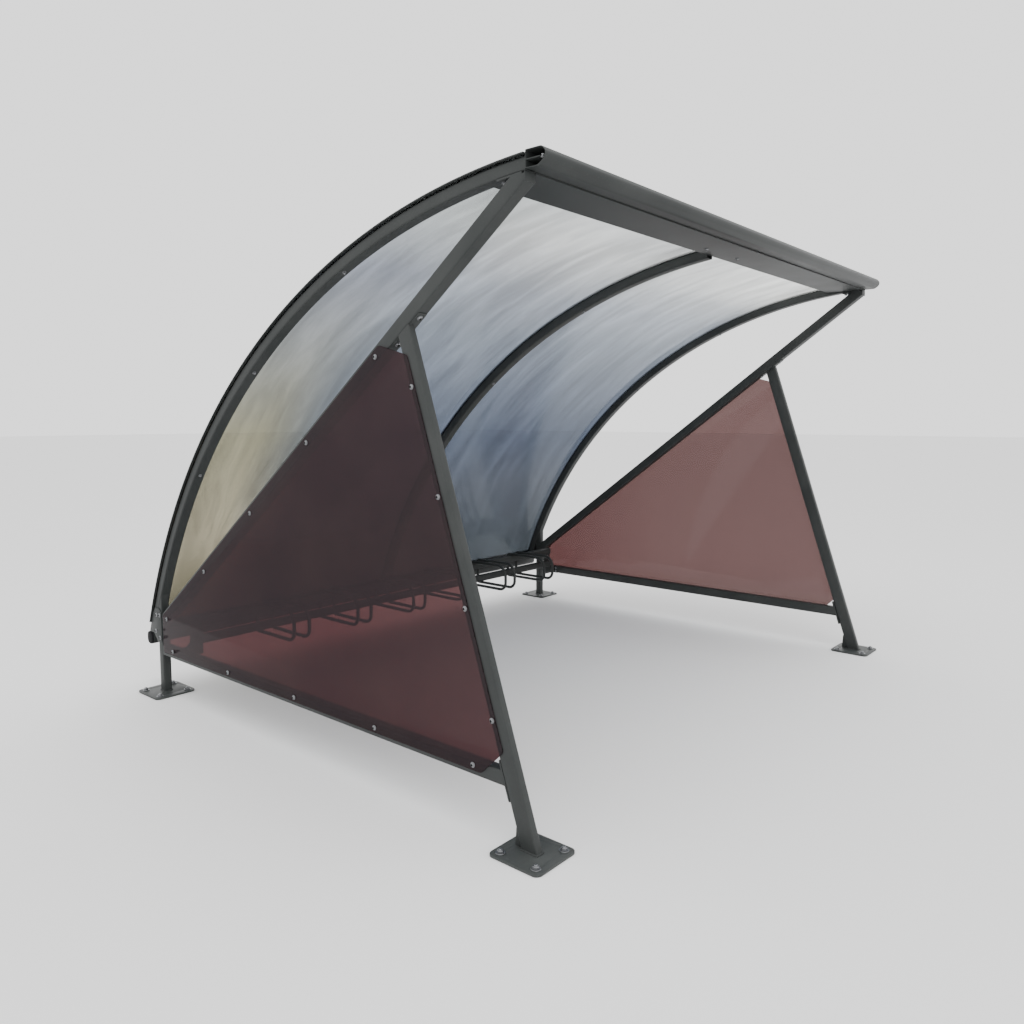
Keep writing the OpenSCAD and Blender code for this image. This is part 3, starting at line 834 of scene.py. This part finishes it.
def smoked_sheet(name):
    """Clear smoked sheet: painted light makes the tint darker and bluer low down, lighter at the top
    and near-white at the top towards the right; it is yellower at the left end and wiped in long
    slanting streaks."""
    mat, nodes, links = blank_finish(name)
    nodes.remove(nodes["Principled BSDF"])
    milk = add(nodes, "BsdfTranslucent")
    shine = add(nodes, "BsdfGlossy", Color=(0.9, 0.93, 0.95, 1))
    clear, _ = layered(nodes, links, milk, 0.25, shine, 0.02, 0.6)
    place = add(nodes, "TexCoord")
    where = add(nodes, "SeparateXYZ")
    links.new(place.outputs["Object"], where.inputs[0])

    def band(axis, low, high, stops):
        """Colours along one axis of the shelter, at real places in metres."""
        share = add(nodes, "MapRange", From_Min=low, From_Max=high)
        colours = tones(nodes, *[((at - low) / (high - low), colour) for at, colour in stops])
        links.new(where.outputs[axis], share.inputs["Value"])
        links.new(share.outputs["Result"], colours.inputs["Fac"])
        return colours.outputs["Color"]

    def blend(how, share, one, two):
        """Two colours put together, by a share or one over the other."""
        mix = nodes.new("ShaderNodeMix")
        mix.data_type = "RGBA"
        mix.blend_type = how
        for slot, value in ((0, share), (6, one), (7, two)):
            if isinstance(value, (float, tuple)):
                mix.inputs[slot].default_value = value
            else:
                links.new(value, mix.inputs[slot])
        return mix.outputs[2]

    # painted light: the tint is darker and bluer low down and lighter at the top
    smoke_and_painted_light = band("Z", 0.3, 2.1, ((0.45, (0.23, 0.25, 0.27)), (0.90, (0.28, 0.30, 0.335)),
                                 (1.20, (0.285, 0.315, 0.37)), (1.50, (0.36, 0.39, 0.44)),
                                 (1.75, (0.44, 0.47, 0.51)), (1.90, (0.54, 0.565, 0.60)),
                                 (2.03, (0.72, 0.73, 0.73))))
    # yellower towards the left end, and also painted darker low down and lighter at the top, as painted
    # light
    left_end_tint_and_painted_light = band("Z", 0.3, 2.1, ((0.45, (0.36, 0.345, 0.285)), (0.75, (0.54, 0.515, 0.435)),
                                  (1.25, (0.48, 0.47, 0.39)), (1.60, (0.45, 0.46, 0.45)),
                                  (1.90, (0.47, 0.49, 0.53)), (2.03, (0.62, 0.64, 0.64))))
    left_end = band("X", -1.5, 1.5, ((-1.22, (1, 1, 1)), (-0.85, (0, 0, 0))))
    tone = blend("MIX", left_end, smoke_and_painted_light, left_end_tint_and_painted_light)
    # painted light: the tint turns near-white near the top, more so towards the right
    painted_light_by_nose = band("Z", 0.3, 2.1, ((1.97, (0, 0, 0)), (2.07, (1, 1, 1))))
    painted_light_to_right = band("X", -1.5, 1.5, ((-0.2, (0, 0, 0)), (1.1, (1, 1, 1))))
    tone = blend("MIX", blend("MULTIPLY", 1.0, painted_light_by_nose, painted_light_to_right), tone, (0.98, 0.98, 0.96, 1))
    slant = add(nodes, "Mapping", Rotation=(0.0, math.radians(34), 0.0), Scale=(11.0, 2.0, 1.3))
    streak = add(nodes, "TexNoise", Scale=1.0, Detail=7.0, Roughness=0.62, Distortion=0.5)
    wiped = add(nodes, "MapRange", From_Min=0.35, From_Max=0.68, To_Min=0.88, To_Max=1.12)
    links.new(place.outputs["Object"], slant.inputs["Vector"])
    links.new(slant.outputs["Vector"], streak.inputs["Vector"])
    links.new(streak.outputs["Fac"], wiped.inputs["Value"])
    tone = blend("MULTIPLY", 1.0, tone, wiped.outputs["Result"])
    rough = add(nodes, "MapRange", To_Min=0.06, To_Max=0.24)
    links.new(streak.outputs["Fac"], rough.inputs["Value"])
    links.new(rough.outputs["Result"], shine.inputs["Roughness"])
    links.new(tone, clear.inputs["Color"])
    links.new(tone, milk.inputs["Color"])
    return mat


roof_clear = smoked_sheet("smoked_clear_sheet")
SHEET_IN = RIB_OUT + PLAY
SHEET_THICK = 0.004


def bent_sheet(r0, r1, x0, x1, low_z, y_front, count=96, across=12):
    """A sheet bent to the roof's curve, between two radii, from low_z up to y_front."""
    bm = bmesh.new()
    first = math.degrees(math.asin((low_z - arc_z) / r0))
    last = math.degrees(math.acos((y_front - arc_y) / r0))
    angles = [first + (last - first) * i / count for i in range(count + 1)]
    places = [x0 + (x1 - x0) * j / across for j in range(across + 1)]
    under, over = [[[bm.verts.new(on_arc(r, angle, x)) for x in places] for angle in angles]
                   for r in (r0, r1)]
    for layer in (under, over):
        for one, two in zip(layer, layer[1:]):
            for j in range(across):
                bm.faces.new((one[j], one[j + 1], two[j + 1], two[j]))
    for j in range(across):
        for i in (0, count):
            bm.faces.new((under[i][j], under[i][j + 1], over[i][j + 1], over[i][j]))
    for i in range(count):
        for j in (0, across):
            bm.faces.new((under[i][j], under[i + 1][j], over[i + 1][j], over[i][j]))
    return bm


for side, s in SIDES:
    low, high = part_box(f"{side}_roof_sheet")
    bm = bent_sheet(SHEET_IN, SHEET_IN + SHEET_THICK, low.x, high.x, low.z, low.y)
    piece(f"{side}_clear_roof_sheet", bm, roof_clear, "roof_sheet", f"{side}_roof_sheet")

# ---- Cover strips --------------------------------------------------------------
# Flat coated strips, 60 mm wide, clamp the sheets to the ribs. Roofing screws with dome
# heads, each on a seal, run through strip, sheet and rib.

STRIP_IN = SHEET_IN + SHEET_THICK + PLAY
STRIP_THICK = 0.004
screw_angles = [STATIONS[0]]
for a, b in zip(STATIONS, STATIONS[1:]):
    screw_angles += [(a + b) / 2, b]
for name, x, _ in RIBS:
    low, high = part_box(f"{name}_cover_strip")
    bm = bent_sheet(STRIP_IN, STRIP_IN + STRIP_THICK, low.x, high.x, low.z, low.y, across=1)
    piece(f"{name}_clamp_strip", bm, steel, "frame_steel", f"{name}_cover_strip")
    spots = [on_arc(STRIP_IN + STRIP_THICK, angle, x) for angle in screw_angles]
    screws(f"{name}_strip_screws", 0.010,
           [(spot, spot - Vector((x, arc_y, arc_z))) for spot in spots], seal=0.0015)

# ---- Side panels ---------------------------------------------------------------
# Bronze tinted clear sheet, 4 mm thick with polished edges, on the outer face of each
# end frame. Dome screws on seals hold it to the rail, the leg and the strut.


def bronze_sheet(name):
    """Bronze tinted sheet, deeper where it is looked along, with a thin dusty haze."""
    mat, nodes, links = blank_finish(name)
    nodes.remove(nodes["Principled BSDF"])
    haze = add(nodes, "BsdfDiffuse")
    shine = add(nodes, "BsdfGlossy", Roughness=0.05, Color=(1, 1, 1, 1))
    clear, aside = layered(nodes, links, haze, 0.056, shine, 0.008, 0.16)
    depth = tones(nodes, (0.12, (0.385, 0.302, 0.293)), (0.32, (0.262, 0.146, 0.146)),
                  (0.85, (0.20, 0.100, 0.100)))
    place = add(nodes, "TexCoord")
    dust = add(nodes, "TexNoise", Scale=2.6, Detail=6.0)
    tone = tones(nodes, (0.25, (0.29, 0.215, 0.26)), (0.75, (0.42, 0.31, 0.33)))
    links.new(aside.outputs["Facing"], depth.inputs["Fac"])
    links.new(depth.outputs["Color"], clear.inputs["Color"])
    links.new(place.outputs["Object"], dust.inputs["Vector"])
    links.new(dust.outputs["Fac"], tone.inputs["Fac"])
    links.new(tone.outputs["Color"], haze.inputs["Color"])
    return mat


tinted = bronze_sheet("bronze_tinted_sheet")
PANEL = 0.004
panel_low, panel_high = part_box("left_side_panel")
CORNER = 0.092
BEHIND_LEG = 0.036
BELOW_STRUT = 0.012
TOP_IN = 1.644  # the upper tip, forward of the rear posts' line
TOP_CUT = 0.040
RAIL_SCREWS = (0.125, 0.612, 1.103, 1.595, 2.080)  # forward of the rear posts' line
RAIL_SCREW_UP = 0.036
LEG_SCREWS = (1.443, 1.086, 0.735, 0.394)  # heights
LEG_SCREW_BACK = 0.048
# forward of the rear posts' line, and down from the strut's upper edge
STRUT_SCREWS = ((1.608, 0.034), (1.203, 0.034), (0.802, 0.035), (0.414, 0.040), (0.050, 0.046))
rear_y = panel_high.y
drop = BELOW_STRUT / math.cos(STRUT_SLOPE)
corner_z = panel_low.z + CORNER
tip, rear_tip = strut_point(TOP_IN, 0), strut_point(POST_Y - rear_y, 0)
edge_low, edge_high = leg_point(corner_z, BEHIND_LEG), leg_point(tip.z - drop - TOP_CUT, BEHIND_LEG)
panel_shape = [(rear_y, panel_low.z), (edge_low.y + CORNER, panel_low.z), (edge_low.y, corner_z),
               (edge_high.y, edge_high.z), (tip.y, tip.z - drop), (rear_y, rear_tip.z - drop)]
screw_places = [Vector((0, POST_Y - y_in, RAIL_Z + RAIL_SCREW_UP)) for y_in in RAIL_SCREWS]
screw_places += [leg_point(z, LEG_SCREW_BACK) for z in LEG_SCREWS]
screw_places += [strut_point(y_in, deep) for y_in, deep in STRUT_SCREWS]
for side, s in SIDES:
    bm = cut_plate("panel", [softened(panel_shape, 0.010)], PANEL, 0.0004,
                   side_on(on_side(-PANEL / 2, s), s))
    piece(f"{side}_tinted_panel", bm, tinted, "side_panel", f"{side}_side_panel")
    screws(f"{side}_panel_screws", 0.0092,
           [((on_side(-PANEL, s), at.y, at.z), (s, 0, 0)) for at in screw_places], seal=0.0015)

# ---- Wheel rack ----------------------------------------------------------------
# Two level 40 mm square tubes with open ends carry the wheel hoops. A folded bracket
# at each end holds them to the side rail, with one bolt between the tubes.

RACK = 0.040
RACK_WALL = 0.002
BRACKET = 0.005
WING = 0.050
for name in ("upper", "lower"):
    low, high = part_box(f"rack_{name}_rail")
    mid = (low + high) / 2
    ends = [Vector((low.x, mid.y, mid.z)), Vector((0, mid.y, mid.z)), Vector((high.x, mid.y, mid.z))]
    bm = steel_tube(ends, RACK, RACK, wall=RACK_WALL, side=Vector((0, 1, 0)))
    piece(f"rack_{name}_tube", bm, steel, "frame_steel", f"rack_{name}_rail")
upper_low, upper_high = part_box("rack_upper_rail")
lower_low, lower_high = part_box("rack_lower_rail")
rail_top = RAIL_Z + RAIL_TALL
bolt_z = (upper_low.z + lower_high.z) / 2
back_y = upper_high.y
for side, s in SIDES:
    inner_x = on_side(RAIL_WIDE, s)
    reach = (OUTER - abs(upper_low.x)) + 0.024
    far_x, near_x, heel_x = [on_side(reach - less, s) for less in (0, 0.066, 0.084)]
    head_z = upper_high.z + 0.002
    shape = [(inner_x, RAIL_Z), (far_x, RAIL_Z), (far_x, head_z), (near_x, head_z),
             (near_x, rail_top + 0.022), (heel_x, rail_top), (inner_x, rail_top)]
    turn = Matrix(((1, 0, 0, 0), (0, 0, -1, back_y + BRACKET / 2), (0, 1, 0, 0), (0, 0, 0, 1)))
    bm = cut_plate("bracket", [softened(shape, 0.004)], BRACKET, 0.0005, turn)
    wing = [(back_y - WING, RAIL_Z), (back_y + BRACKET, RAIL_Z), (back_y + BRACKET, rail_top),
            (back_y - WING, rail_top)]
    cut_plate("wing", [softened(wing, 0.004)], BRACKET, 0.0005, side_on(inner_x - s * BRACKET / 2), bm)
    piece(f"{side}_rack_end_bracket", bm, steel, "frame_steel", f"{side}_rack_bracket")
    bm = bmesh.new()
    dome_bolt(bm, (on_side(reach - 0.036, s), back_y, bolt_z), (0, -1, 0), r=0.011)
    for z in (RAIL_Z + 0.014, rail_top - 0.014):
        dome_bolt(bm, (inner_x - s * BRACKET, back_y - 0.030, z), (-s, 0, 0), r=0.009)
    # the sockets take the near-black painted shade
    piece(f"{side}_rack_bolts", bm, (zinc, socket), "frame_steel", sharp=30)

# ---- Wheel hoops ---------------------------------------------------------------
# Round bars, 18 mm thick, bent to closed loops that pass over the upper rack tube and
# under the lower one. Each pair grips one wheel, and every crossing is welded.

HOOP_R = 0.009
FACETS = 20
side_way = Vector((1, 0, 0))
for place in range(1, 7):
    for hand in ("left", "right"):
        node = f"hoop_{place}_{hand}"
        low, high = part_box(node)
        x = (low.x + high.x) / 2
        y0, y1 = low.y + HOOP_R, high.y - HOOP_R
        z0, z1 = low.z + HOOP_R, high.z - HOOP_R
        line = []
        for cy, cz, r, start in ((y0 + 0.064, z1 - 0.064, 0.064, 90),
                                 (y0 + 0.046, z0 + 0.046, 0.046, 180),
                                 (y1 - 0.014, z0 + 0.014, 0.014, 270),
                                 (y1 - 0.014, z1 - 0.014, 0.014, 0)):
            for k in range(11):
                a = math.radians(start + 9 * k)
                line.append(Vector((x, cy + r * math.cos(a), cz + r * math.sin(a))))
        bm = bmesh.new()
        rings = []
        for i, p in enumerate(line):
            on = (line[(i + 1) % len(line)] - line[i - 1]).normalized()
            out = on.cross(side_way)
            rings.append([bm.verts.new(p + side_way * HOOP_R * math.cos(math.tau * k / FACETS)
                                       + out * HOOP_R * math.sin(math.tau * k / FACETS))
                          for k in range(FACETS)])
        walls(bm, rings + rings[:1])
        for z, rear, front in ((upper_high.z, upper_low.y, upper_high.y),
                               (lower_low.z, lower_low.y, lower_high.y)):
            for dx in (-0.0055, 0.0055):
                bead = [(x + dx, rear + 0.004, z), (x + dx, front - 0.004, z)]
                weld_bead(bm, bead, 0.0022, closed=False)
        piece(f"wheel_hoop_{place}_{hand}", bm, steel, "frame_steel", node, sharp=60)

# ---- Studio --------------------------------------------------------------------
# A wide pale floor under an even white sky, a large soft light overhead and a weaker
# one from the front, and the camera off the shelter's left front corner.

floor_mat, floor_nodes, _ = blank_finish("pale_floor")
floor_skin = floor_nodes["Principled BSDF"]
floor_skin.inputs["Base Color"].default_value = (0.86, 0.86, 0.86, 1)
floor_skin.inputs["Roughness"].default_value = 0.85
bm = bmesh.new()
bmesh.ops.create_grid(bm, x_segments=1, y_segments=1, size=60)
floor_mesh = bpy.data.meshes.new("floor")
bm.to_mesh(floor_mesh)
bm.free()
floor_mesh.materials.append(floor_mat)
floor = bpy.data.objects.new("floor", floor_mesh)
floor.location = (0, 0, -0.0005)
bpy.context.scene.collection.objects.link(floor)

world = bpy.context.scene.world or bpy.data.worlds.new("studio")
bpy.context.scene.world = world
world.use_nodes = True
sky = world.node_tree.nodes["Background"]
sky.inputs["Color"].default_value = (1.0, 1.0, 1.0, 1)
sky.inputs["Strength"].default_value = 1.7


def soft_light(name, at, aim, watts):
    """A square lamp, 4 m on a side, turned towards a point."""
    lamp = bpy.data.lights.new(name, "AREA")
    lamp.size = 4.0
    lamp.energy = watts
    holder = bpy.data.objects.new(name, lamp)
    holder.location = at
    holder.rotation_euler = (Vector(aim) - Vector(at)).to_track_quat("-Z", "Y").to_euler()
    bpy.context.scene.collection.objects.link(holder)


soft_light("overhead", (-1.5, -1.5, 6.5), (0, 0, 0.8), 160)
soft_light("front", (-6.0, -6.0, 4.0), (0, 0, 0.8), 60)

LOOK_RIGHT = math.radians(48.95)
LOOK_DOWN = math.radians(5.65)
EYE = Vector((-OUTER - 1.883, POST_Y - 3.829, 1.345))
camera_data = bpy.data.cameras.new("camera")
camera_data.lens = 28.99
camera_data.sensor_width = 36.0
camera_data.shift_x = 0.0124
camera_data.shift_y = -0.0133
camera_data.clip_end = 200
camera = bpy.data.objects.new("camera", camera_data)
camera.location = EYE
look = Vector((math.cos(LOOK_DOWN) * math.sin(LOOK_RIGHT), math.cos(LOOK_DOWN) * math.cos(LOOK_RIGHT),
               -math.sin(LOOK_DOWN)))
camera.rotation_euler = look.to_track_quat("-Z", "Y").to_euler()
bpy.context.scene.collection.objects.link(camera)
bpy.context.scene.camera = camera
